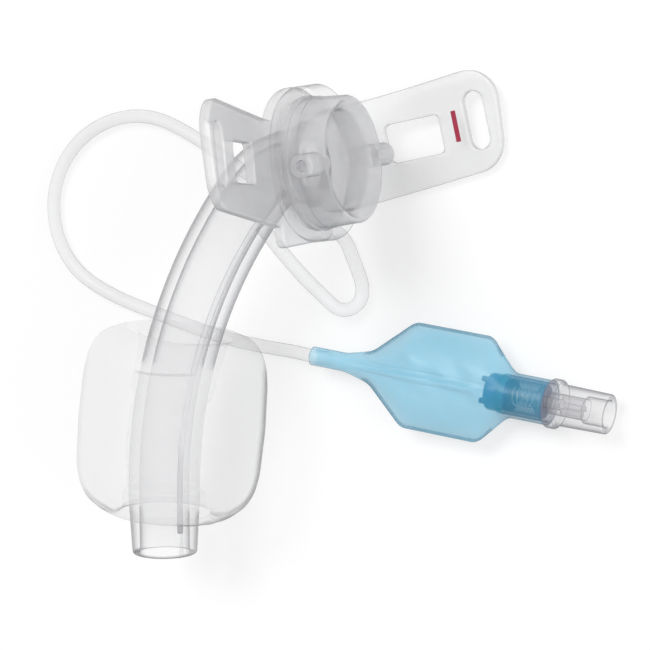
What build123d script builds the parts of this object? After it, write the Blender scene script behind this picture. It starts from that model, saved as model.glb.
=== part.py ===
# Cuffed tracheostomy tube with its neck plate, connector, inflation line, pilot balloon and valve.
# Each piece of the tube is drawn with the connector's axis along +X, the patient's head towards +Y
# and the near wing towards +Z, and is then laid on its side the way the real one comes to rest.
# The valve and the pilot balloon are drawn along +X and then turned to where they lie.
# Lengths are in millimetres and angles in degrees.

import os
from math import cos, pi, radians, sin, tan

from build123d import *

# Where the tube lies. The origin is on the surface, under the middle of the tube, plate and cuff.
plate_x = 8.07
plate_y = 23.0
roll = 6.2
bond = 0.05
running_fit = 0.06

# Tube
tube_radius = 5.7
lumen_radius = 4.0
elbow_radius = 10.4
elbow_turn = 43.9
shaft_radius = 78.7
shaft_turn = 38.2
tip_length = 10.0
tip_taper_length = 9.0
tip_taper = 0.55
tip_rounding = 0.45
channel_radius = 0.45
channel_angle = 60.0
channel_to_tip = 4.0
plug_length = 1.2

# Cuff
cuff_radius = 14.9
cuff_film = 0.35
cuff_to_tip = 6.4
cuff_length = 29.6
fold_depth = 6.5
fold_lip = 6.9
fold_rounding = 1.2
crown = 0.6
crown_rounding = 45.0
upper_shoulder_length = 4.6
upper_shoulder_rise = 2.9
upper_shoulder_rounding = 5.4
upper_shoulder_blend = 9.0
lower_shoulder_length = 4.6
lower_shoulder_rise = 4.8
lower_shoulder_rounding = 8.0
lower_shoulder_blend = 7.5
collar_length = 4.0
collar_wall = 1.0

# Neck plate
plate_thickness = 1.6
plate_lobe_radius = 12.0
lobe_flat_near = 10.0
lobe_flat_far = 7.0
lobe_corner = 1.5
wing_half_height = 8.1
wing_sweep = 9.3
wing_root_drop = 2.3
wing_corner = 5.0
plate_edge = 0.35
plate_short_edge = 1.2
near_lean = 11.2
near_lean_start = 9.5
near_lean_radius = 50.0
far_bend_radius = 13.0
window_start = 19.8
window_length = 9.0
window_height = 6.1
window_corner = 0.9
window_turn = 5.0
window_to_slot = 4.4
slot_length = 9.2
slot_width = 3.4
slot_turn = 5.0
slot_to_wing_end = 2.2

# Hub ring and connector
hub_rim = 1.94
hub_wall = 0.8
hub_depth = 3.4
hub_back_edge = 0.6
hub_front_edge = 0.5
hub_edge = 0.3
seal_thickness = 0.5
seal_width = 2.6
connector_base_radius = 10.0
connector_mouth_radius = 9.75
connector_length = 7.25
connector_floor = 1.2
socket_radius = 7.75
socket_depth = 3.6
lip_width = 1.4
lip_depth = 1.4
snap_height = 0.25
snap_width = 0.8
lug_radius = 1.8
lug_reach = 14.3
lug_recess_radius = 0.9
lug_recess_depth = 1.2
lug_bury = 0.4
mouth_edge = 0.35
lip_edge = 0.2
lip_root = 0.8
cup_root = 0.6

# Inflation line
line_radius = 1.08
line_clear = 0.02
line_height = line_radius + line_clear

# Pilot balloon and valve. Lengths along their axis count from the end of the balloon's neck.
balloon_x = 0.75
balloon_y = -5.9
balloon_turn = -14.5
balloon_film = 0.35
neck_radius = 1.5
neck_length = 6.0
bag_half_width = 8.35
bag_half_thickness = 3.5
weld_width = 0.9
weld_thickness = 0.5
weld_corner = 1.2
shoulder_start = 10.4
shoulder_half_width = 2.5
shoulder_blend = 9.0
bag_start = 17.0
bag_end = 30.2
sleeve_start = 34.6
sleeve_end = 41.2

# Valve
ring_radius = 3.85
ring_width = 1.7
ring_edge = 0.4
ring_root = 0.3
spout_edge = 0.22
barrel_radius = 3.1
barrel_length = 8.0
chamber_radius = 2.6
mouth_root_radius = 3.25
mouth_tip_radius = 3.1
mouth_length = 8.1
mouth_bore_radius = 2.15
mouth_bore_depth = 3.8
mouth_bore_root = 0.2
throat_radius = 1.7
throat_depth = 5.7
seat_wall = 1.0
seat_bore_radius = 0.95
stem_radius = 0.88
stem_head_length = 3.6
stem_head_width = 2.6
stem_head_rib = 0.8
poppet_radius = 2.2
poppet_width = 0.6
valve_seal_width = 0.35
pin_radius = 0.6
pin_length = 5.6
insert_radius = 2.9
insert_length = 2.2
insert_plug_length = 1.8
insert_rounding = 0.5
prong_length = 1.4
prong_radius = 0.45
prong_spread = 1.7
spring_wire_radius = 0.16
spring_radius = 1.35
spring_turns = 5
valve_travel = 1.4
stem_clear = 0.3

os.makedirs("parts", exist_ok=True)


# Tube: the centre line first, because the cuff and the channel are placed along it
hub_front = plate_thickness + hub_wall

with BuildLine() as tube_path:
    entry = Line((hub_front, 0), (0, 0))
    elbow = JernArc(entry @ 1, entry % 1, elbow_radius, elbow_turn)
    shaft = JernArc(elbow @ 1, elbow % 1, shaft_radius, shaft_turn)
    tip = Line(shaft @ 1, shaft @ 1 + (shaft % 1) * tip_length)
tube_centre = tube_path.wire()
tube_end = tip @ 1
tube_heading = tip % 1


def place_on_tube(distance_from_tip):
    """Centre of the tube, and the way it runs, at a distance back from its tip."""
    fraction = 1 - distance_from_tip / tube_centre.length
    return tube_centre.position_at(fraction), tube_centre.tangent_at(fraction)


channel_offset = (tube_radius + lumen_radius) / 2
channel_in = channel_offset * sin(radians(channel_angle))
channel_up = channel_offset * cos(radians(channel_angle))

with BuildLine() as channel_path:
    channel_elbow = JernArc(
        (0, -channel_in), (-1, 0), elbow_radius - channel_in, elbow_turn
    )
    channel_shaft = JernArc(
        channel_elbow @ 1, channel_elbow % 1, shaft_radius - channel_in, shaft_turn
    )
    Line(
        channel_shaft @ 1,
        channel_shaft @ 1 + (channel_shaft % 1) * (tip_length - channel_to_tip),
    )

channel_start = Plane(origin=(0, -channel_in, channel_up), x_dir=(0, 1, 0), z_dir=(-1, 0, 0))
channel_wire = channel_path.wire().moved(Location((0, 0, channel_up)))

with BuildPart() as outer_tube:
    with BuildSketch(Plane(origin=entry @ 0, x_dir=(0, 1, 0), z_dir=(-1, 0, 0))):
        Circle(tube_radius)
        Circle(lumen_radius, mode=Mode.SUBTRACT)
    sweep(path=tube_centre)
    with BuildSketch(channel_start):
        Circle(channel_radius)
    sweep(path=channel_wire, mode=Mode.SUBTRACT)
    # The tip is drawn in by a cone that leaves the taper's shape
    with BuildSketch(Plane(origin=tube_end, x_dir=tube_heading, z_dir=(0, 0, 1))):
        with BuildLine():
            Polyline(
                (0, tube_radius - tip_taper),
                (-tip_taper_length, tube_radius),
                (-tip_taper_length, tube_radius + tip_taper),
                (tip_taper, tube_radius + tip_taper),
                (tip_taper, tube_radius - tip_taper),
                close=True,
            )
        make_face()
    revolve(axis=Axis(tube_end, tube_heading), mode=Mode.SUBTRACT)
    tip_edges = outer_tube.faces().sort_by(Axis(tube_end, tube_heading))[-1].edges()
    fillet(tip_edges, tip_rounding)

with BuildPart() as channel_plug:
    plug_at = channel_wire.position_at(1)
    with BuildSketch(Plane(origin=plug_at, x_dir=(0, 0, 1), z_dir=-tube_heading)):
        Circle(channel_radius - bond)
    extrude(amount=plug_length)


# Cuff: a turned film on a straight axis through the two collars, with its upper neck folded in
lower_at, lower_way = place_on_tube(cuff_to_tip)
fold_at, fold_way = place_on_tube(cuff_to_tip + cuff_length - fold_depth)
cuff_axis = (lower_at - fold_at).normalized()
cuff_plane = Plane(origin=lower_at, x_dir=cuff_axis, z_dir=(0, 0, 1))
shoulder_radius = cuff_radius - crown
fold_back = -(lower_at - fold_at).length
neck_inside = tube_radius + bond + collar_wall / 2

with BuildPart() as cuff:
    with BuildSketch(cuff_plane):
        with BuildLine():
            outer = FilletPolyline(
                (fold_back, neck_inside),
                (-cuff_length, fold_lip),
                (-cuff_length, shoulder_radius - upper_shoulder_rise),
                (upper_shoulder_length - cuff_length, shoulder_radius),
                (-cuff_length / 2, cuff_radius),
                (-lower_shoulder_length, shoulder_radius),
                (0, shoulder_radius - lower_shoulder_rise),
                (0, neck_inside),
                radius=[
                    fold_rounding,
                    upper_shoulder_rounding,
                    upper_shoulder_blend,
                    crown_rounding,
                    lower_shoulder_rounding,
                    lower_shoulder_blend,
                ],
            )
            Line(outer @ 1, (0, 0))
            Line((0, 0), (fold_back, 0))
            Line((fold_back, 0), outer @ 0)
        make_face()
        offset(amount=-cuff_film, mode=Mode.SUBTRACT)
    revolve(axis=Axis(lower_at, cuff_axis))
    for collar_at, collar_way in ((lower_at, -lower_way), (fold_at, fold_way)):
        with BuildSketch(Plane(origin=collar_at, z_dir=collar_way)):
            Circle(tube_radius + bond + collar_wall)
        extrude(amount=collar_length)
    with BuildSketch(Plane(origin=entry @ 0, z_dir=(-1, 0, 0))):
        Circle(tube_radius + bond)
    sweep(path=tube_centre, mode=Mode.SUBTRACT)

# The cuff's lowest point decides how high the plate's centre stands
tipped_over = Location((0, 0, 0), (roll, 0, 0))
plate_height = -cuff.part.moved(tipped_over).bounding_box().min.Z
lying = Location((plate_x, plate_y, plate_height), (roll, 0, 0))


# Neck plate: a band bent along the wings, cut to the outline of the lobe and of each wing
plate_middle = plate_thickness / 2
window_middle = window_start + window_length / 2
slot_middle = window_start + window_length + window_to_slot + slot_width / 2
wing_reach = slot_middle + slot_width / 2 + slot_to_wing_end
lean = tan(radians(near_lean))
sweep_slope = tan(radians(wing_sweep))
# The far wing is bent to lie with its lower edge on the surface, where its flat part starts
bend_excess = far_bend_radius * (pi / 2 - 1)
low_edge = wing_root_drop + wing_half_height - sweep_slope * bend_excess
far_drop = (plate_height - low_edge * sin(radians(roll)) - plate_middle * cos(radians(roll))) / (
    cos(radians(roll)) - sweep_slope * sin(radians(roll))
)
far_start = far_drop - far_bend_radius
far_slip = far_start + bend_excess - plate_middle
far_reach = wing_reach - far_slip


def wing_middle(reach):
    """Height of a wing's centre line, towards the head, at a distance out along the wing."""
    return sweep_slope * reach - wing_root_drop


def wing_outline(start, end, slip):
    """Corners of a wing as (distance towards the head, distance along the wing's own plane)."""
    return [
        (wing_middle(start + slip) - wing_half_height, start),
        (wing_middle(end + slip) - wing_half_height, end),
        (wing_middle(end + slip) + wing_half_height, end),
        (wing_middle(start + slip) + wing_half_height, start),
    ]


far_bottom = -far_drop - plate_thickness
cut_depth = 2 * wing_half_height

# What the flat blank's outline would leave of the bent band: the lobe, the near wing and the far wing
with BuildPart() as plate_outline:
    with BuildSketch(Plane.YZ.offset(-plate_thickness)):
        with BuildLine():
            FilletPolyline(
                *wing_outline(0, wing_reach, 0),
                radius=[0, wing_corner, wing_corner, 0],
                close=True,
            )
        make_face()
        Circle(plate_lobe_radius)
        with Locations((-plate_lobe_radius / 2, (lobe_flat_near - lobe_flat_far) / 2)):
            RectangleRounded(plate_lobe_radius, lobe_flat_near + lobe_flat_far, lobe_corner)
    extrude(amount=cut_depth)
    with BuildSketch(Plane.XY.offset(far_bottom)):
        with BuildLine():
            FilletPolyline(
                *[(along, across) for across, along in wing_outline(0, far_reach, far_slip)],
                radius=[0, wing_corner, wing_corner, 0],
                close=True,
            )
        make_face()
    extrude(amount=far_drop + plate_thickness - far_start)

with BuildPart() as neck_plate:
    with BuildSketch(Plane.XZ):
        with BuildLine():
            FilletPolyline(
                (plate_middle + lean * (wing_reach - near_lean_start), wing_reach),
                (plate_middle, near_lean_start),
                (plate_middle, -far_drop),
                (far_reach, -far_drop),
                radius=[near_lean_radius, far_bend_radius],
            )
            offset(amount=plate_thickness / 2)
        make_face()
    extrude(amount=2 * wing_half_height, both=True)
    add(plate_outline.part, mode=Mode.INTERSECT)
    with BuildSketch(Plane.YZ.offset(-plate_thickness)):
        with Locations((wing_middle(window_middle), window_middle)):
            RectangleRounded(window_height, window_length, window_corner, rotation=-window_turn)
        with Locations((wing_middle(slot_middle), slot_middle)):
            SlotOverall(slot_length, slot_width, rotation=-slot_turn)
        Circle(tube_radius + bond)
    extrude(amount=cut_depth, mode=Mode.SUBTRACT)
    with BuildSketch(Plane.XY.offset(far_bottom)):
        with Locations((window_middle - far_slip, wing_middle(window_middle))):
            RectangleRounded(window_length, window_height, window_corner, rotation=window_turn)
        with Locations((slot_middle - far_slip, wing_middle(slot_middle))):
            SlotOverall(slot_length, slot_width, rotation=90 + slot_turn)
    extrude(amount=far_drop - far_start, mode=Mode.SUBTRACT)
    # The few short edges lie where two bends cross, and run into the rounding beside them
    fillet(neck_plate.edges().filter_by(lambda edge: edge.length > plate_short_edge), plate_edge)


# Hub ring: bonded to the tube's end and to the front of the plate, with a groove for the connector
snap_middle = hub_front + seal_thickness + 2 * running_fit + connector_floor / 2
hub_end = hub_front + hub_depth
socket_in_hub = connector_base_radius + running_fit
hub_radius = socket_in_hub + hub_rim

with BuildPart() as hub_ring:
    with BuildSketch(Plane.XY):
        with BuildLine():
            FilletPolyline(
                (plate_thickness, tube_radius + bond),
                (plate_thickness, hub_radius - hub_back_edge),
                (plate_thickness + hub_back_edge, hub_radius),
                (hub_end, hub_radius),
                (hub_end, socket_in_hub),
                (hub_front, socket_in_hub),
                (hub_front, tube_radius + bond),
                radius=[0, hub_edge, hub_edge, hub_front_edge, hub_edge, 0, 0],
                close=True,
            )
        make_face()
        with Locations((snap_middle, socket_in_hub)):
            Rectangle(
                snap_width + 2 * running_fit, 2 * (snap_height + running_fit), mode=Mode.SUBTRACT
            )
    revolve(axis=Axis.X)
    # It is moulded on to the plate, so its back follows the plate's bends
    add(neck_plate.part, mode=Mode.SUBTRACT)
hub_ring.part = Part(hub_ring.solids().sort_by(SortBy.VOLUME)[-1].wrapped)

with BuildPart() as connector_seal:
    with BuildSketch(Plane.YZ.offset(hub_front + running_fit)):
        Circle(lumen_radius + seal_width + bond)
        Circle(lumen_radius + bond, mode=Mode.SUBTRACT)
    extrude(amount=seal_thickness)


# Connector: a cup that turns in the hub, with two lugs
connector_back = hub_front + seal_thickness + 2 * running_fit
connector_front = connector_back + connector_length
lip_back = connector_front - lip_depth
socket_back = lip_back - socket_depth
lug_x = connector_front - lug_radius
lug_root = socket_radius + lug_bury

with BuildPart() as connector:
    with BuildSketch(Plane.XY):
        with BuildLine():
            FilletPolyline(
                (connector_back, lumen_radius),
                (connector_back, connector_base_radius),
                (hub_end, connector_base_radius),
                (connector_front, connector_mouth_radius),
                (connector_front, socket_radius + lip_width),
                (lip_back, socket_radius),
                (socket_back, socket_radius),
                (connector_back + connector_floor, lumen_radius),
                radius=[0, 0, 0, mouth_edge, lip_edge, lip_root, cup_root, 0],
                close=True,
            )
        make_face()
        with Locations((snap_middle, connector_base_radius)):
            Rectangle(snap_width, 2 * snap_height)
    revolve(axis=Axis.X)
    for side in (1, -1):
        with BuildSketch(Plane(origin=(lug_x, 0, side * lug_root), z_dir=(0, 0, side))):
            Circle(lug_radius)
        extrude(amount=lug_reach - lug_root)
        with BuildSketch(Plane(origin=(lug_x, 0, side * lug_reach), z_dir=(0, 0, -side))):
            Circle(lug_recess_radius)
        extrude(amount=lug_recess_depth, mode=Mode.SUBTRACT)


# Pilot balloon: a six-sided bag with pointed edges, a neck on the line and a sleeve on the valve
neck_bore = line_radius + bond
sleeve_bore = barrel_radius + bond
sleeve_radius = sleeve_bore + balloon_film
barrel_back = sleeve_end - barrel_length
bag_inside = bag_half_width - weld_width
bag_sections = [
    (neck_length, neck_radius, neck_radius),
    (shoulder_start, shoulder_half_width, (neck_radius + bag_half_thickness) / 2),
    (bag_start, bag_inside, bag_half_thickness),
    (bag_end, bag_inside, bag_half_thickness),
    (sleeve_start, sleeve_radius, sleeve_radius),
]
weld_outline = [
    (neck_length, neck_radius),
    (shoulder_start, shoulder_half_width),
    (bag_start, bag_half_width),
    (bag_end, bag_half_width),
    (sleeve_start, sleeve_radius),
]
weld_radii = [0, shoulder_blend, weld_corner, weld_corner, 0]

with BuildPart() as pilot_balloon:
    for along, half_width, half_thickness in bag_sections:
        with BuildSketch(Plane.YZ.offset(along)):
            Ellipse(half_width, half_thickness)
    loft(ruled=True)
    with BuildSketch(Plane.XY.offset(-weld_thickness / 2)):
        with BuildLine():
            FilletPolyline(
                *weld_outline,
                *[(along, -half_width) for along, half_width in reversed(weld_outline)],
                radius=[*weld_radii, *reversed(weld_radii)],
                close=True,
            )
        make_face()
    extrude(amount=weld_thickness)
    with BuildSketch(Plane.YZ):
        Circle(neck_radius)
    extrude(amount=neck_length)
    with BuildSketch(Plane.YZ.offset(sleeve_start)):
        Circle(sleeve_radius)
    extrude(amount=sleeve_end - sleeve_start)
    for along, half_width, half_thickness in bag_sections:
        with BuildSketch(Plane.YZ.offset(along)):
            Ellipse(half_width - balloon_film, half_thickness - balloon_film)
    loft(ruled=True, mode=Mode.SUBTRACT)
    with BuildSketch(Plane.YZ):
        Circle(neck_bore)
    extrude(amount=neck_length + balloon_film, mode=Mode.SUBTRACT)
    with BuildSketch(Plane.YZ.offset(barrel_back)):
        Circle(sleeve_bore)
    extrude(amount=barrel_length, mode=Mode.SUBTRACT)


# Valve body: barrel in the balloon's sleeve, ring, and mouth for a syringe
ring_back = sleeve_end
ring_front = ring_back + ring_width
mouth_front = ring_front + mouth_length
throat_front = mouth_front - mouth_bore_depth
seat_front = throat_front - throat_depth
seat_back = seat_front - seat_wall

with BuildPart() as valve_body:
    with BuildSketch(Plane.XY):
        with BuildLine():
            FilletPolyline(
                (barrel_back, chamber_radius),
                (barrel_back, barrel_radius),
                (ring_back, barrel_radius),
                (ring_back, ring_radius),
                (ring_front, ring_radius),
                (ring_front, mouth_root_radius),
                (mouth_front, mouth_tip_radius),
                (mouth_front, mouth_bore_radius),
                (throat_front, mouth_bore_radius),
                (throat_front, throat_radius),
                (seat_front, throat_radius),
                (seat_front, seat_bore_radius),
                (seat_back, seat_bore_radius),
                (seat_back, chamber_radius),
                radius=[
                    *[0, 0, 0, ring_edge, ring_edge, ring_root, spout_edge, spout_edge],
                    *[mouth_bore_root, 0, 0, 0, 0, 0],
                ],
                close=True,
            )
        make_face()
    revolve(axis=Axis.X)

# Plunger: the cross seen in the mouth, its stem, the poppet and the pin that guides the spring
head_back = seat_front + valve_travel + stem_clear
poppet_front = seat_back - running_fit - valve_seal_width
poppet_back = poppet_front - poppet_width

with BuildPart() as valve_plunger:
    with BuildSketch(Plane.YZ.offset(poppet_back)):
        Circle(poppet_radius)
    extrude(amount=poppet_width)
    with BuildSketch(Plane.YZ.offset(poppet_front)):
        Circle(stem_radius)
    extrude(amount=head_back - poppet_front)
    with BuildSketch(Plane.YZ.offset(head_back)):
        Rectangle(stem_head_width, stem_head_rib)
        Rectangle(stem_head_rib, stem_head_width)
    extrude(amount=stem_head_length)
    with BuildSketch(Plane.YZ.offset(poppet_back)):
        Circle(pin_radius)
    extrude(amount=-pin_length)

with BuildPart() as valve_seal:
    with BuildSketch(Plane.YZ.offset(poppet_front)):
        Circle(poppet_radius)
        Circle(stem_radius + bond, mode=Mode.SUBTRACT)
    extrude(amount=valve_seal_width)

# Insert: closes the barrel, guides the pin and keeps the bag's wall off the valve with its prongs
insert_back = barrel_back - insert_length
spring_seat = barrel_back + insert_plug_length

with BuildPart() as valve_insert:
    with BuildSketch(Plane.XY):
        with BuildLine():
            FilletPolyline(
                (insert_back, pin_radius + running_fit),
                (insert_back, insert_radius),
                (barrel_back, insert_radius),
                (barrel_back, chamber_radius - bond),
                (spring_seat, chamber_radius - bond),
                (spring_seat, pin_radius + running_fit),
                radius=[0, insert_rounding, 0, 0, 0, 0],
                close=True,
            )
        make_face()
    revolve(axis=Axis.X)
    with BuildSketch(Plane.YZ.offset(insert_back)):
        with Locations((prong_spread, 0), (-prong_spread, 0)):
            Circle(prong_radius)
    extrude(amount=-prong_length)

# Spring: between the insert and the poppet, round the pin
spring_room = poppet_back - spring_seat - 2 * running_fit - 2 * spring_wire_radius
spring_start = spring_seat + running_fit + spring_wire_radius

with BuildPart() as valve_spring:
    with BuildLine():
        Helix(
            pitch=spring_room / spring_turns,
            height=spring_room,
            radius=spring_radius,
            center=(spring_start, 0, 0),
            direction=(1, 0, 0),
        )
    coil = valve_spring.pending_edges_as_wire
    with BuildSketch(Plane(origin=coil @ 0, z_dir=coil % 0)):
        Circle(spring_wire_radius)
    sweep(path=coil, is_frenet=True)


# Inflation line: out of the tube's wall behind the plate, down in a tight loop, under the plate and the
# tube, round in a wide loop on the surface, under the tube again and up into the balloon's neck
line_route = [
    (-1.2, 14.7, 14.2),
    (0.7, 10.4, 11.5),
    (2.6, 6.2, 8.2),
    (4.1, 3.2, 5.1),
    (5.7, 0.6, 3.0),
    (8.4, 1.4, 1.4),
    (9.3, 4.4, line_height),
    (7.9, 8.6, line_height),
    (6.5, 13.0, line_height),
    (-1.1, 18.0, line_height),
    (-10.6, 24.8, line_height),
    (-19.6, 31.9, line_height),
    (-27.4, 36.2, line_height),
    (-35.5, 36.3, line_height),
    (-42.8, 32.8, line_height),
    (-47.3, 26.0, line_height),
    (-47.4, 18.0, line_height),
    (-43.8, 11.4, line_height),
    (-36.8, 6.8, line_height),
    (-27.6, 2.8, line_height),
    (-17.1, -1.6, line_height),
    (-8.6, -3.9, line_height),
    (-3.8, -4.8, 2.5),
    (-0.2, -5.7, ring_radius),
    (3.6, -6.6, ring_radius),
]
line_radii = []
for before, corner, after in zip(line_route, line_route[1:], line_route[2:]):
    run_in = Vector(corner) - Vector(before)
    run_out = Vector(after) - Vector(corner)
    half_turn = run_in.get_angle(run_out) / 2
    line_radii.append(0.45 * min(run_in.length, run_out.length) / tan(radians(half_turn)))
print("line radii in diameters:", [round(r / (2 * line_radius), 2) for r in line_radii])

with BuildPart() as inflation_line:
    with BuildLine() as line_path:
        FilletPolyline(*line_route, radius=line_radii)
    with BuildSketch(Plane(origin=line_path.wire() @ 0, z_dir=line_path.wire() % 0)):
        Circle(line_radius)
    sweep(path=line_path.wire())
line_length = line_path.wire().length
print("line length:", round(line_length, 1))
print("volume over section times length:", inflation_line.part.volume / (pi * line_radius**2 * line_length))


# Lay each piece where it rests and write it
tube_pieces = {
    "outer_tube": outer_tube,
    "channel_plug": channel_plug,
    "cuff": cuff,
    "neck_plate": neck_plate,
    "hub_ring": hub_ring,
    "connector_seal": connector_seal,
    "connector": connector,
}
balloon_pieces = {
    "pilot_balloon": pilot_balloon,
    "valve_body": valve_body,
    "valve_plunger": valve_plunger,
    "valve_seal": valve_seal,
    "valve_insert": valve_insert,
    "valve_spring": valve_spring,
}
on_the_surface = Location((balloon_x, balloon_y, ring_radius), (0, 0, balloon_turn))

for placed, pieces in ((lying, tube_pieces), (on_the_surface, balloon_pieces)):
    for name, piece in pieces.items():
        piece.part = piece.part.moved(placed)
        piece.part.label = name
        export_step(piece.part, f"parts/{name}.step")

inflation_line.part.label = "inflation_line"
export_step(inflation_line.part, "parts/inflation_line.step")
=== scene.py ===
# Cuffed airway tube lying on a pale table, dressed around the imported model.
# The frame is in metres. Lengths in the settings are in millimetres, unless a note says metres.

import math

import bmesh
import bpy
from mathutils import Matrix, Vector


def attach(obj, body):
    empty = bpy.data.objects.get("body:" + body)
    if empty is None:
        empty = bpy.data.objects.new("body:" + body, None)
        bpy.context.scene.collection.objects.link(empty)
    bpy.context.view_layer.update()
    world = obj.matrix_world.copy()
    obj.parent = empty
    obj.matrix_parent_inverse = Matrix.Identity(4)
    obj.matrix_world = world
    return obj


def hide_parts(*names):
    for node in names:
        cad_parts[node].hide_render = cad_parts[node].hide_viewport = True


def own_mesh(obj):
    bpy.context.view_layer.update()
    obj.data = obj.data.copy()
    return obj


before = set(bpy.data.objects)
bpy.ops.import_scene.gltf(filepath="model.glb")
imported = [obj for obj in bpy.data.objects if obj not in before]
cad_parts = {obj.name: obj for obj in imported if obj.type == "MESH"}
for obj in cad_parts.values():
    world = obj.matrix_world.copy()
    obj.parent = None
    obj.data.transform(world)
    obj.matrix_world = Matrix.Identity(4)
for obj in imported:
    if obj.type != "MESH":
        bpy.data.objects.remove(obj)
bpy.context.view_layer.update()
bpy.ops.object.select_all(action="DESELECT")
mm = 0.001
print("stage: frame loaded, nodes", len(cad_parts))


# A socket that takes part in sums, so that a mask is written as a formula
class Flow:
    def __init__(self, tree, socket):
        self.tree = tree
        self.socket = socket

    def math(self, operation, other=None, first=None):
        sumNode = self.tree.nodes.new("ShaderNodeMath")
        sumNode.operation = operation
        ends = (self if first is None else first, self if first is not None else other)
        for slotIndex, end in enumerate(ends):
            if isinstance(end, Flow):
                self.tree.links.new(end.socket, sumNode.inputs[slotIndex])
            elif end is not None:
                sumNode.inputs[slotIndex].default_value = end
        return Flow(self.tree, sumNode.outputs[0])

    def __add__(self, other):
        return self.math("ADD", other)

    def __radd__(self, other):
        return self.math("ADD", first=other)

    def __rsub__(self, other):
        return self.math("SUBTRACT", first=other)

    def __mul__(self, other):
        return self.math("MULTIPLY", other)

    def __rmul__(self, other):
        return self.math("MULTIPLY", first=other)

    def __truediv__(self, other):
        return self.math("DIVIDE", other)

    def __pow__(self, other):
        return self.math("POWER", other)

    def within(self, low, high):
        return self.math("MAXIMUM", low).math("MINIMUM", high)


# A material whose nodes are added by one method
class Finish:
    def __init__(self, name):
        self.material = bpy.data.materials.new(name)
        self.material.use_nodes = True
        self.tree = self.material.node_tree
        self.tree.nodes.clear()
        self.output = self.tree.nodes.new("ShaderNodeOutputMaterial")

    def node(self, kind, settings=None, feeds=None, out=0):
        added = self.tree.nodes.new(kind)
        for name, value in (settings or {}).items():
            setattr(added, name, value)
        for name, value in (feeds or {}).items():
            if isinstance(value, Flow):
                self.tree.links.new(value.socket, added.inputs[name])
            else:
                added.inputs[name].default_value = value
        return Flow(self.tree, added.outputs[out])

    def surface(self, flow):
        self.tree.links.new(flow.socket, self.output.inputs["Surface"])
        return self.material


def ramp(flow, low, high, finish):
    return finish.node(
        "ShaderNodeMapRange",
        {"interpolation_type": "SMOOTHSTEP"},
        {"Value": flow, "From Min": low, "From Max": high, "To Min": 0.0, "To Max": 1.0},
    )


# Share of a place that lies between pairs of planes, each pair (start, way, low, high, soft) in mm
def between(finish, place, slabs):
    share = 1.0
    for start, way, low, high, soft in slabs:
        start = [value * mm for value in start]
        away = finish.node("ShaderNodeVectorMath", {"operation": "SUBTRACT"}, {0: place, 1: start})
        along = finish.node("ShaderNodeVectorMath", {"operation": "DOT_PRODUCT"}, {0: away, 1: way}, out=1)
        entered = ramp(along, (low - soft) * mm, (low + soft) * mm, finish)
        left = ramp(along, (high - soft) * mm, (high + soft) * mm, finish)
        share = entered * (1.0 - left) * share
    return share


# Clear and milky plastics. Each surface is mostly see-through where it is seen square on
# and closes up towards its rim, as a clear moulding does on a white table.
def clearPlastic(name, look):
    finish = Finish(name)
    place = finish.node("ShaderNodeTexCoord", out=3)
    facing = finish.node("ShaderNodeLayerWeight", feeds={"Blend": 0.5}, out=1)
    cloudFeeds = {"Vector": place, "Scale": look["cloudScale"], "Detail": look["cloudDetail"]}
    cloud = finish.node("ShaderNodeTexNoise", feeds=cloudFeeds)
    dark = look["rimAlpha"] * ramp(facing, look["rimFrom"], 1.0, finish) ** look["rimPower"]
    # Rims faded between pairs of planes; on the cuff's upper left this fading is painted light on the lit
    # side
    for keep, slabs in look["fadedRimsAndPaintedLight"]:
        dark = dark * (1.0 - (1.0 - keep) * between(finish, place, slabs))
    # Dark lines and bands between pairs of planes; the band round the tube's tip is painted shade
    for strength, slabs in look["darkLinesAndPaintedShade"]:
        dark = dark + strength * between(finish, place, slabs)
    haze = look["haze"] * (1.0 - look["cloud"] + 2.0 * look["cloud"] * cloud)
    for keep, slabs in look["faintHaze"]:
        haze = haze * (1.0 - (1.0 - keep) * between(finish, place, slabs))
    alpha = (haze + dark).within(0.0, 1.0)
    colour = finish.node(
        "ShaderNodeMix",
        {"data_type": "RGBA"},
        {"Factor": (dark / alpha).within(0.0, 1.0), "A": look["colour"], "B": look["rimColour"]},
        out=2,
    )
    for tint, slabs in look["tints"]:
        share = between(finish, place, slabs)
        mixed = {"Factor": share, "A": colour, "B": tint}
        colour = finish.node("ShaderNodeMix", {"data_type": "RGBA"}, mixed, out=2)
    grainFeeds = {"Vector": place, "Scale": look["grainScale"], "Detail": look["grainDetail"]}
    grain = finish.node("ShaderNodeTexNoise", feeds=grainFeeds)
    bumpFeeds = {"Strength": look["grain"], "Distance": look["grainDepth"] * mm, "Height": grain}
    bump = finish.node("ShaderNodeBump", feeds=bumpFeeds)
    body = finish.node(
        "ShaderNodeBsdfPrincipled",
        feeds={
            "Base Color": colour,
            "Roughness": look["roughness"],
            "IOR": look["ior"],
            "Specular IOR Level": look["specular"],
            "Alpha": alpha,
            "Normal": bump,
        },
    )
    return finish.surface(body)


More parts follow.
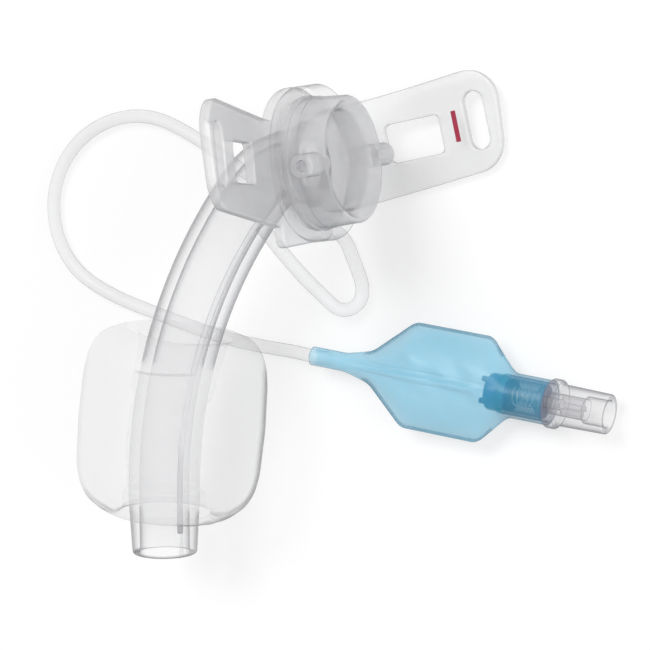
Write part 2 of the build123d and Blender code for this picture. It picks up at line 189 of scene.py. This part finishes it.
# Places in mm and directions that the masks on the surfaces are measured from
cuffLow = (-23.0186, -29.0563, 13.6049)
cuffWay = (0.2385, 0.9588, 0.1041)
cuffSide = (0.9704, -0.2414, 0.0)
tipWay = (0.1374, 0.9847, 0.1070)
tipSide = (0.9904, -0.1366, -0.0148)
tipUp = (0.0, -0.1080, 0.9940)
balloonStart = (0.75, -5.9, 3.85)
balloonAlong = (0.9681, -0.2504, 0.0)
balloonAcross = (0.2504, 0.9681, 0.0)
balloonFold = (balloonStart, balloonAlong, 7.5, 29.5, 1.5)
softVinyl = {
    "colour": (0.86, 0.86, 0.88, 1.0),
    "rimColour": (0.30, 0.30, 0.32, 1.0),
    "haze": 0.12,
    "cloud": 0.25,
    "cloudScale": 60.0,
    "cloudDetail": 3.0,
    "rimFrom": 0.20,
    "rimPower": 1.5,
    "rimAlpha": 0.80,
    "roughness": 0.25,
    "ior": 1.52,
    "specular": 0.35,
    "grainScale": 900.0,
    "grainDetail": 4.0,
    "grainDepth": 0.2,
    "grain": 0.04,
    "fadedRimsAndPaintedLight": [],
    "faintHaze": [],
    "darkLinesAndPaintedShade": [],
    "tints": [],
}
looks = {
    "clearTube": {
        **softVinyl,
        "fadedRimsAndPaintedLight": [(0.12, [(cuffLow, cuffWay, 0.6, 24.2, 0.7)])],
        "darkLinesAndPaintedShade": [
            (
                0.17,
                [
                    (cuffLow, tipWay, -12.0, 11.0, 4.0),
                    (cuffLow, tipSide, 3.7, 4.7, 0.05),
                    (cuffLow, tipUp, 1.85, 2.95, 0.05),
                ],
            ),
            # Dark band round the tip's end: painted shade along the tip's bottom edge
            (0.45, [(cuffLow, tipWay, -8.0, -6.15, 0.12), (cuffLow, tipUp, -1.0, 20.0, 1.5)]),
        ],
    },
    "clearPlate": {
        **softVinyl,
        "haze": 0.33,
        "colour": (0.93, 0.93, 0.94, 1.0),
        "rimFrom": 0.42,
        "rimColour": (0.28, 0.28, 0.30, 1.0),
    },
    "clearHub": {
        **softVinyl,
        "haze": 0.10,
        "rimFrom": 0.50,
        "rimColour": (0.24, 0.24, 0.26, 1.0),
    },
    "greyCup": {
        **softVinyl,
        "haze": 0.42,
        # Strong cloud on the cup: random see-through patches, partly uneven milkiness and partly painted
        # soft highlights
        "cloud": 0.45,
        "cloudScale": 110.0,
        "colour": (0.74, 0.74, 0.76, 1.0),
        "rimFrom": 0.58,
        "rimColour": (0.26, 0.26, 0.28, 1.0),
        "roughness": 0.32,
    },
    "cuffFilm": {
        **softVinyl,
        "haze": 0.15,
        "colour": (0.80, 0.80, 0.81, 1.0),
        "rimFrom": 0.60,
        "rimPower": 1.1,
        "rimAlpha": 0.95,
        # Very dark rim: the film's edge, darkened further as painted shade for the outline on the cuff's
        # right and bottom
        "rimColour": (0.09, 0.09, 0.10, 1.0),
        "fadedRimsAndPaintedLight": [
            # Faded on the cuff's upper left: painted light on the side the light falls on, leaving the dark
            # outline only on its right and bottom
            (
                0.13,
                [
                    ((-20.3, -18.0, 14.8), (1.0, 0.0, -0.3), -90.0, 9.0, 4.0),
                    ((-20.3, -18.0, 14.8), (0.0, 1.0, 0.0), -8.0, 90.0, 3.0),
                ],
            ),
            (0.20, [(cuffLow, cuffWay, 24.0, 60.0, 2.0)]),
            (0.12, [(cuffLow, cuffWay, -4.0, 6.0, 1.0), (cuffLow, tipSide, -6.6, 6.6, 0.9)]),
        ],
    },
    "cuffCollar": {
        **softVinyl,
        "haze": 0.06,
        "colour": (0.78, 0.78, 0.79, 1.0),
        "rimFrom": 0.80,
        "rimColour": (0.40, 0.40, 0.41, 1.0),
        "rimAlpha": 0.05,
        "darkLinesAndPaintedShade": [
            (
                0.35,
                [
                    (cuffLow, tipWay, 23.2, 23.6, 0.2),
                    (cuffLow, tipUp, 0.0, 20.0, 1.0),
                    (cuffLow, cuffSide, -4.6, 5.4, 1.2),
                ],
            )
        ],
    },
    "lineVinyl": {
        **softVinyl,
        "haze": 0.21,
        "colour": (0.94, 0.94, 0.95, 1.0),
        "rimFrom": 0.55,
        "rimColour": (0.20, 0.20, 0.22, 1.0),
    },
    "blueFilm": {
        **softVinyl,
        "colour": (0.13, 0.70, 0.97, 1.0),
        "rimColour": (0.05, 0.22, 0.36, 1.0),
        "haze": 0.38,
        "cloud": 0.10,
        "rimFrom": 0.45,
        "rimAlpha": 0.60,
        "darkLinesAndPaintedShade": [
            (0.16, [balloonFold, (balloonStart, balloonAcross, 0.42, 0.60, 0.12)]),
            (0.16, [balloonFold, (balloonStart, balloonAcross, -0.60, -0.42, 0.12)]),
            (0.06, [(balloonStart, balloonAlong, 34.0, 50.0, 1.0)]),
        ],
        "faintHaze": [(0.70, [(balloonStart, balloonAlong, 34.8, 50.0, 0.5)])],
    },
    "blueWeld": {
        **softVinyl,
        "colour": (0.06, 0.36, 0.52, 1.0),
        "rimColour": (0.04, 0.18, 0.28, 1.0),
        "haze": 0.50,
        "rimFrom": 0.30,
    },
    "blueFilmInside": {
        **softVinyl,
        "colour": (0.10, 0.45, 0.70, 1.0),
        "rimColour": (0.07, 0.24, 0.38, 1.0),
        "haze": 0.03,
        "rimFrom": 0.70,
        "rimAlpha": 0.4,
    },
    "clearValve": {
        **softVinyl,
        "haze": 0.12,
        "rimColour": (0.14, 0.14, 0.18, 1.0),
        "rimAlpha": 0.9,
        "darkLinesAndPaintedShade": [(0.10, [(balloonStart, balloonAlong, 30.0, 41.2, 0.3)])],
        "tints": [((0.03, 0.12, 0.36, 1.0), [(balloonStart, balloonAlong, 30.0, 41.2, 0.3)])],
    },
    "blueInsert": {
        **softVinyl,
        "colour": (0.02, 0.08, 0.34, 1.0),
        "rimColour": (0.01, 0.03, 0.14, 1.0),
        "haze": 0.96,
        "cloud": 0.0,
    },
    "whitePlunger": {
        **softVinyl,
        "colour": (0.44, 0.42, 0.48, 1.0),
        "haze": 0.22,
    },
    "seal": {
        **softVinyl,
        "colour": (0.75, 0.75, 0.76, 1.0),
        "haze": 0.45,
        "roughness": 0.5,
    },
    "redPrint": {
        **softVinyl,
        "colour": (0.42, 0.03, 0.07, 1.0),
        "rimColour": (0.42, 0.03, 0.07, 1.0),
        "haze": 0.92,
        "roughness": 0.6,
    },
}
plastics = {name: clearPlastic(name, look) for name, look in looks.items()}


# Steel wire of the spring, with fine streaks in its gloss
wireLook = {
    "colour": (0.62, 0.62, 0.63, 1.0),
    "roughness": 0.22,
    "streaks": 0.2,
    "streakScale": 4000.0,
    "streakDetail": 2.0,
}


def drawnWire(name, look):
    finish = Finish(name)
    place = finish.node("ShaderNodeTexCoord", out=3)
    streakFeeds = {"Vector": place, "Scale": look["streakScale"], "Detail": look["streakDetail"]}
    streaks = finish.node("ShaderNodeTexNoise", feeds=streakFeeds)
    wireFeeds = {
        "Base Color": look["colour"],
        "Metallic": 1.0,
        "Roughness": look["roughness"] + look["streaks"] * streaks,
    }
    return finish.surface(finish.node("ShaderNodeBsdfPrincipled", feeds=wireFeeds))


springWire = drawnWire("springWire", wireLook)
nodeFinish = {
    "outer_tube": plastics["clearTube"],
    "channel_plug": plastics["clearTube"],
    "cuff": plastics["cuffFilm"],
    "neck_plate": plastics["clearPlate"],
    "hub_ring": plastics["clearHub"],
    "connector_seal": plastics["seal"],
    "connector": plastics["greyCup"],
    "inflation_line": plastics["lineVinyl"],
    "pilot_balloon": plastics["blueFilm"],
    "valve_body": plastics["clearValve"],
    "valve_insert": plastics["blueInsert"],
    "valve_plunger": plastics["whitePlunger"],
    "valve_seal": plastics["seal"],
    "valve_spring": springWire,
}
for nodeName, finishUsed in nodeFinish.items():
    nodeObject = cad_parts[nodeName]
    for materialSlot in nodeObject.material_slots:
        materialSlot.material = finishUsed
print("stage: finishes on", len(nodeFinish), "nodes")


# A sleeve of rings: an open cylinder is cut into rings, and each of its points is then moved to
# where the shape puts it for a share of the length and an angle round the axis
def ringSleeve(name, sides, rings, shape, placed):
    bpy.ops.mesh.primitive_cylinder_add(vertices=sides, radius=1.0, depth=1.0, end_fill_type="NOTHING")
    sleeve = bpy.context.object
    sleeve.name = name
    bpy.ops.object.mode_set(mode="EDIT")
    cage = bmesh.from_edit_mesh(sleeve.data)
    for edge in cage.edges:
        edge.select = abs(edge.verts[0].co.z - edge.verts[1].co.z) > 0.5  # the edges that run its length
    bmesh.update_edit_mesh(sleeve.data)
    bpy.ops.mesh.subdivide(number_cuts=rings - 2)
    bpy.ops.object.mode_set(mode="OBJECT")
    for vertex in sleeve.data.vertices:
        share = min(max(vertex.co.z + 0.5, 0.0), 1.0)
        vertex.co = placed @ Vector(shape(share, math.atan2(vertex.co.y, vertex.co.x)))
    return sleeve


mergeReach = 0.01  # points nearer than this become one


# The sleeve's ends are drawn together and its faces turned outwards
def closeUp(sleeve):
    bpy.ops.object.mode_set(mode="EDIT")
    bpy.ops.mesh.select_all(action="SELECT")
    bpy.ops.mesh.remove_doubles(threshold=mergeReach * mm)
    bpy.ops.mesh.normals_make_consistent(inside=False)
    bpy.ops.object.mode_set(mode="OBJECT")
    bpy.ops.object.shade_smooth()
    sleeve.select_set(False)


def addModifier(piece, kind, settings):
    modifier = piece.modifiers.new(kind.lower(), kind)
    for name, value in settings.items():
        setattr(modifier, name, value)
    bpy.context.view_layer.objects.active = piece
    bpy.ops.object.modifier_apply(modifier=modifier.name)


# Value of a line through (place, value) stations, with its corners rounded over a short reach
def softLine(stations, place, reach):
    total = 0.0
    for step in (-1.0, -0.5, 0.0, 0.5, 1.0):
        at = min(max(place + step * reach, stations[0][0]), stations[-1][0])
        for (low, lowValue), (high, highValue) in zip(stations, stations[1:]):
            if at <= high:
                total += lowValue + (highValue - lowValue) * (at - low) / (high - low)
                break
    return total / 5.0


# Pilot balloon: two films welded flat round their edge, with a neck on the line, a sleeve on the
# valve and a soft fold along the middle
balloonSettings = {
    "start": balloonStart,
    "turn": -14.5,
    "length": 41.2,
    "sides": 160,
    "rings": 96,
    "halfWidth": [(0, 1.5), (6, 1.5), (10.4, 2.6), (17.0, 8.35), (30.2, 8.35), (34.6, 3.5), (41.2, 3.5)],
    "halfThickness": [(0, 1.5), (6, 1.5), (12, 2.3), (17.5, 3.3), (29.5, 3.4), (34.6, 3.5), (41.2, 3.5)],
    "flatness": [(0, 0.0), (6, 0.0), (12, 1.0), (30.5, 1.0), (34.8, 0.0), (41.2, 0.0)],
    "weldWidth": 0.55,
    "weldHalfThickness": 0.25,
    "weldShare": 0.9,
    "lensPower": 0.8,
    "cornerReach": 0.7,
    "foldHalfWidth": 0.60,
    "foldHeight": 0.40,
    "foldEnds": (8.0, 30.5),
    "foldRamp": 2.0,
    "foldPower": 6,
    "dentHeight": 0.10,
    "dentWaves": [(0.9, 1.3), (-0.35, 0.5)],
    "film": 0.12,
}


def pilotBalloon(settings):
    def shape(share, angle):
        along = share * settings["length"]
        reach = settings["cornerReach"]
        width = softLine(settings["halfWidth"], along, reach)
        thickness = softLine(settings["halfThickness"], along, reach)
        flatness = softLine(settings["flatness"], along, reach)
        across = width * math.cos(angle)
        bag = max(width - settings["weldWidth"], 0.1)
        weld = settings["weldHalfThickness"]
        lens = weld + (thickness - weld) * max(1.0 - (across / bag) ** 2, 0.0) ** settings["lensPower"]
        if abs(math.sin(angle)) < 0.001:
            lens = 0.0  # the two films meet at the edge
        dents = 1.0
        for perLength, perWidth in settings["dentWaves"]:
            dents *= math.sin(perLength * along + perWidth * across)
        foldStart, foldEnd = settings["foldEnds"]
        fromEnd = min(along - foldStart, foldEnd - along)
        foldShare = min(max(fromEnd / settings["foldRamp"], 0.0), 1.0)
        crease = math.exp(-((across / settings["foldHalfWidth"]) ** settings["foldPower"]))
        fold = settings["foldHeight"] * foldShare * crease
        lens += (settings["dentHeight"] * dents + fold) * (lens - weld) / thickness * flatness
        rise = flatness * lens + (1.0 - flatness) * thickness * abs(math.sin(angle))
        return along * mm, across * mm, math.copysign(rise, math.sin(angle)) * mm

    start = Vector(settings["start"]) * mm
    placed = Matrix.Translation(start) @ Matrix.Rotation(math.radians(settings["turn"]), 4, "Z")
    balloon = ringSleeve("pilotBalloon", settings["sides"], settings["rings"], shape, placed)
    closeUp(balloon)
    for filmName in ("blueFilm", "blueWeld", "blueFilmInside", "blueFilmInside"):
        balloon.data.materials.append(plastics[filmName])
    for face in balloon.data.polygons:
        local = placed.inverted() @ face.center / mm
        width = softLine(settings["halfWidth"], local.x, settings["cornerReach"])
        flatness = softLine(settings["flatness"], local.x, settings["cornerReach"])
        welded = flatness > 0.5 and abs(local.y) > width - settings["weldWidth"] * settings["weldShare"]
        face.material_index = 1 if welded else 0
    addModifier(
        balloon, "SOLIDIFY", {"thickness": settings["film"] * mm, "offset": -1.0, "material_offset": 2}
    )
    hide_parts("pilot_balloon")
    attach(balloon, "tube")
    return balloon


balloonObject = pilotBalloon(balloonSettings)
print("stage: pilot balloon made")


# Spring of the valve, built at one length; the real one closes up towards its seat as the plunger is pushed
# in.
springSettings = {
    "seat": 35.06,
    "length": 4.37,
    "radius": 1.35,
    "wireRadius": 0.16,
    "turns": 5,
    "sides": 12,
    "rings": 241,
    "pressed": 0.67,
}


def valveSpring(settings):
    wireRadius = settings["wireRadius"]
    radius = settings["radius"]
    climb = settings["length"] - 2 * wireRadius
    turned = 2 * math.pi * settings["turns"]

    def shape(share, angle):
        around = turned * share
        outward = Vector((0.0, math.cos(around), math.sin(around)))
        along = Vector((climb / turned, -radius * math.sin(around), radius * math.cos(around))).normalized()
        wire = wireRadius * min(1.0, (settings["rings"] - 1) * min(share, 1.0 - share))
        centre = outward * radius + Vector((settings["seat"] + wireRadius + climb * share, 0.0, 0.0))
        return (centre + wire * (outward * math.cos(angle) + along.cross(outward) * math.sin(angle))) * mm

    start = Vector(balloonStart) * mm
    placed = Matrix.Translation(start) @ Matrix.Rotation(math.radians(balloonSettings["turn"]), 4, "Z")
    spring = ringSleeve("valveSpring", settings["sides"], settings["rings"], shape, placed)
    closeUp(spring)
    spring.data.materials.append(springWire)
    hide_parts("valve_spring")
    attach(spring, "tube")
    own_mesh(spring)
    return spring


springObject = valveSpring(springSettings)
print("stage: valve spring made")


# Cuff: one closed film. Both of its necks are folded in and bonded round the tube.
# Each station is (place along the axis from the lower end, radius), inner collars first.
cuffSettings = {
    "lowEnd": cuffLow,
    "fold": (-17.4902, -6.8337, 16.0190),
    "lowWay": (0.137445, 0.984716, 0.106974),
    "highWay": (0.376168, 0.921132, 0.100067),
    "sides": 128,
    "rings": 110,
    "lowCollar": [(4.0, 5.78), (4.0, 6.6), (1.2, 6.6), (0.3, 7.0)],
    "bag": [
        (0.0, 7.8), (0.1, 9.0), (0.9, 10.8), (2.4, 12.7), (4.6, 14.0), (7.5, 14.6), (14.8, 14.85),
        (22.0, 14.6), (25.2, 14.15), (27.4, 13.2), (28.9, 11.6), (29.5, 9.8), (29.6, 8.2),
    ],
    "highCollar": [(29.2, 7.2), (27.5, 6.95), (25.0, 6.7), (23.0, 6.6), (19.1, 6.6), (19.1, 5.78)],
    "holdRadius": 9.5,
    "holdReach": 2.5,
    "foldDepth": 6.5,
    "pleats": 17,
    "pleatHeight": 0.10,
    "pleatReach": 4.0,
    "pleatFrom": 7.0,
    "pleatRise": 2.0,
    "pleatDrift": 1.7,
    "pleatDriftWaves": 3.0,
    "smoothing": 0.8,
    "clearOfTable": 0.03,
    "bondRadius": 8.3,
    "bondEnds": (1.0, 31.0),
}


def airCuff(settings):
    stations = settings["lowCollar"] + settings["bag"] + settings["highCollar"]
    stations = stations + [stations[0]]
    travelled = [0.0]
    for (lowAlong, lowRadius), (highAlong, highRadius) in zip(stations, stations[1:]):
        travelled.append(travelled[-1] + math.hypot(highAlong - lowAlong, highRadius - lowRadius))
    alongLine = [(way, along) for way, (along, radius) in zip(travelled, stations)]
    radiusLine = [(way, radius) for way, (along, radius) in zip(travelled, stations)]
    lowEnd = Vector(settings["lowEnd"])
    fold = Vector(settings["fold"])
    span = (fold - lowEnd).length
    axis = (fold - lowEnd) / span
    side = axis.cross(Vector((0.0, 0.0, 1.0))).normalized()

    def shape(share, angle):
        way = share * travelled[-1]
        along = softLine(alongLine, way, settings["smoothing"])
        radius = softLine(radiusLine, way, settings["smoothing"])
        # Near the tube the rings follow its bend, and the bag between them is straight
        hold = min(max((settings["holdRadius"] - radius) / settings["holdReach"], 0.0), 1.0)
        lowAt = lowEnd + Vector(settings["lowWay"]) * along
        highAt = fold + Vector(settings["highWay"]) * (along - span)
        blend = min(max(along / span, 0.0), 1.0)
        onTube = lowAt.lerp(highAt, blend * blend * (3.0 - 2.0 * blend))
        wayHere = Vector(settings["lowWay"]).lerp(Vector(settings["highWay"]), blend).normalized()
        centre = (lowEnd + axis * along).lerp(onTube, hold)
        facing = axis.lerp(wayHere, hold).normalized()
        sideHere = (side - facing * side.dot(facing)).normalized()
        upHere = facing.cross(sideHere)
        fromEnd = min(along, span + settings["foldDepth"] - along)
        nearEnd = math.exp(-((fromEnd / settings["pleatReach"]) ** 2))
        nearEnd *= min(max((radius - settings["pleatFrom"]) / settings["pleatRise"], 0.0), 1.0)
        drift = settings["pleatDrift"] * math.sin(settings["pleatDriftWaves"] * angle)
        wave = math.sin(settings["pleats"] * angle + drift)
        radius += settings["pleatHeight"] * nearEnd * wave
        point = centre + (sideHere * math.cos(angle) + upHere * math.sin(angle)) * radius
        point.z = max(point.z, settings["clearOfTable"])
        return point * mm

    cuff = ringSleeve("airCuff", settings["sides"], settings["rings"], shape, Matrix.Identity(4))
    closeUp(cuff)
    cuff.data.materials.append(plastics["cuffFilm"])
    cuff.data.materials.append(plastics["cuffCollar"])
    bondStart, bondEnd = settings["bondEnds"]
    for face in cuff.data.polygons:
        out = face.center / mm - lowEnd
        along = out.dot(axis)
        bonded = bondStart < along < bondEnd and (out - axis * along).length < settings["bondRadius"]
        face.material_index = 1 if bonded else 0
    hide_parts("cuff")
    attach(cuff, "tube")
    return cuff


airCuff(cuffSettings)
print("stage: cuff made")


# Red bar printed on the wing that lies on the table
barSettings = {
    "middle": (28.06, 27.69, 2.595),
    "size": (0.8, 4.9, 0.04),
    "tilt": 6.2,
    "turn": 5.0,
    "edge": 0.015,
    "edgeSteps": 2,
}


def printedBar(settings):
    bpy.ops.mesh.primitive_cube_add(size=1.0)
    bar = bpy.context.object
    bar.name = "printedBar"
    bar.scale = [value * mm for value in settings["size"]]
    bpy.ops.object.transform_apply(location=False, rotation=False, scale=True)
    bpy.ops.object.mode_set(mode="EDIT")
    bpy.ops.mesh.select_all(action="SELECT")
    bpy.ops.mesh.bevel(offset=settings["edge"] * mm, segments=settings["edgeSteps"])
    bpy.ops.object.mode_set(mode="OBJECT")
    bar.rotation_euler = (math.radians(settings["tilt"]), 0.0, math.radians(settings["turn"]))
    bar.location = [value * mm for value in settings["middle"]]
    bpy.ops.object.transform_apply(location=True, rotation=True, scale=False)
    bar.select_set(False)
    bar.data.materials.append(plastics["redPrint"])
    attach(bar, "tube")


printedBar(barSettings)
print("stage: printed bar made")


# Inflation line: the same route as the solid's, as one smooth curve
lineSettings = {
    "diameter": 2.16 * mm,
    "length": 165.5 * mm,
    "steps": 24,
    "roundness": 6,
    "route": [
        (-1.2, 14.7, 14.2),
        (0.7, 10.4, 11.5),
        (2.6, 6.2, 8.2),
        (4.1, 3.2, 5.1),
        (5.7, 0.6, 3.0),
        (8.4, 1.4, 1.4),
        (9.3, 4.4, 1.1),
        (7.9, 8.6, 1.1),
        (6.5, 13.0, 1.1),
        (-1.1, 18.0, 1.1),
        (-10.6, 24.8, 1.1),
        (-19.6, 31.9, 1.1),
        (-27.4, 36.2, 1.1),
        (-35.5, 36.3, 1.1),
        (-42.8, 32.8, 1.1),
        (-47.3, 26.0, 1.1),
        (-47.4, 18.0, 1.1),
        (-43.8, 11.4, 1.1),
        (-36.8, 6.8, 1.1),
        (-27.6, 2.8, 1.1),
        (-17.1, -1.6, 1.1),
        (-8.6, -3.9, 1.1),
        (-3.8, -4.8, 2.5),
        (-0.2, -5.7, 3.85),
        (3.6, -6.6, 3.85),
    ],
}


def inflationLine(settings):
    curve = bpy.data.curves.new("inflationLine", "CURVE")
    curve.dimensions = "3D"
    curve.resolution_u = settings["steps"]
    curve.bevel_depth = settings["diameter"] / 2
    curve.bevel_resolution = settings["roundness"]
    curve.use_fill_caps = True
    spline = curve.splines.new("NURBS")
    spline.points.add(len(settings["route"]) - 1)
    for point, place in zip(spline.points, settings["route"]):
        point.co = (*[value * mm for value in place], 1.0)
    spline.order_u = 3
    spline.use_endpoint_u = True
    line = bpy.data.objects.new("inflationLine", curve)
    bpy.context.collection.objects.link(line)
    curve.materials.append(plastics["lineVinyl"])
    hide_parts("inflation_line")
    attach(line, "tube")
    return line


lineObject = inflationLine(lineSettings)
print("stage: inflation line laid")


# Table, light and camera
stageSettings = {
    "floorHalf": 1.2,  # metres
    "floorColour": (0.45, 0.45, 0.45, 1.0),
    "floorLift": 0.60,
    "floorRoughness": 0.9,
    "floorSpecular": 0.1,
    "clearLayers": 40,  # clear surfaces that one ray may cross
    "world": 0.42,
    "lamps": [
        ("keyLight", 1.55, 28.0, (-0.157, 0.428, 0.889)),
        ("fillLight", 1.55, 50.0, (0.93, -0.10, 0.32)),
    ],
}


# 1 where a ray comes from the camera, a gloss or a clear surface, and 0 where it only lights
def seenShare(tree):
    rays = tree.nodes.new("ShaderNodeLightPath")
    seen = Flow(tree, rays.outputs["Is Camera Ray"]) + Flow(tree, rays.outputs["Is Glossy Ray"])
    return (seen + Flow(tree, rays.outputs["Is Transmission Ray"])).within(0.0, 1.0)


def tableTop(settings):
    bpy.ops.mesh.primitive_plane_add(size=2 * settings["floorHalf"], location=(0, 0, 0))
    floor = bpy.context.object
    floor.name = "tableTop"
    finish = Finish("tableTop")
    matt = finish.node(
        "ShaderNodeBsdfPrincipled",
        feeds={
            "Base Color": settings["floorColour"],
            "Roughness": settings["floorRoughness"],
            "Specular IOR Level": settings["floorSpecular"],
            "Emission Color": (1.0, 1.0, 1.0, 1.0),
            "Emission Strength": seenShare(finish.tree) * settings["floorLift"],
        },
    )
    floor.data.materials.append(finish.surface(matt))
    floor.select_set(False)


def lights(settings):
    world = bpy.data.worlds.new("room")
    bpy.context.scene.world = world
    world.use_nodes = True
    tree = world.node_tree
    tree.nodes.clear()
    seen = seenShare(tree)
    sky = tree.nodes.new("ShaderNodeBackground")
    tree.links.new((settings["world"] + (1.0 - settings["world"]) * seen).socket, sky.inputs["Strength"])
    output = tree.nodes.new("ShaderNodeOutputWorld")
    tree.links.new(sky.outputs[0], output.inputs["Surface"])
    for name, power, angle, way in settings["lamps"]:
        lamp = bpy.data.lights.new(name, "SUN")
        lamp.energy = power
        lamp.angle = math.radians(angle)
        lampObject = bpy.data.objects.new(name, lamp)
        lampObject.rotation_euler = Vector(way).to_track_quat("Z", "Y").to_euler()
        bpy.context.collection.objects.link(lampObject)


cameraSettings = {
    "place": (209.557, -14.781, 407.118),
    "right": (0.88650, -0.07797, -0.45611),
    "up": (0.08305, 0.99651, -0.00893),
    "lens": 158.31,
    "sensor": 36.0,
    "clipStart": 0.01,  # metres
}


def takeCamera(settings):
    camera = bpy.data.cameras.new("camera")
    camera.lens = settings["lens"]
    camera.sensor_width = settings["sensor"]
    camera.clip_start = settings["clipStart"]
    right = Vector(settings["right"]).normalized()
    up = Vector(settings["up"]).normalized()
    back = right.cross(up).normalized()
    up = back.cross(right)
    cameraObject = bpy.data.objects.new("camera", camera)
    turned = Matrix((right, up, back)).transposed().to_4x4()
    turned.translation = Vector(settings["place"]) * mm
    cameraObject.matrix_world = turned
    bpy.context.collection.objects.link(cameraObject)
    bpy.context.scene.camera = cameraObject


tableTop(stageSettings)
lights(stageSettings)
takeCamera(cameraSettings)
bpy.context.scene.view_settings.view_transform = "Standard"
bpy.context.scene.cycles.transparent_max_bounces = stageSettings["clearLayers"]
print("stage: table, light and camera set")
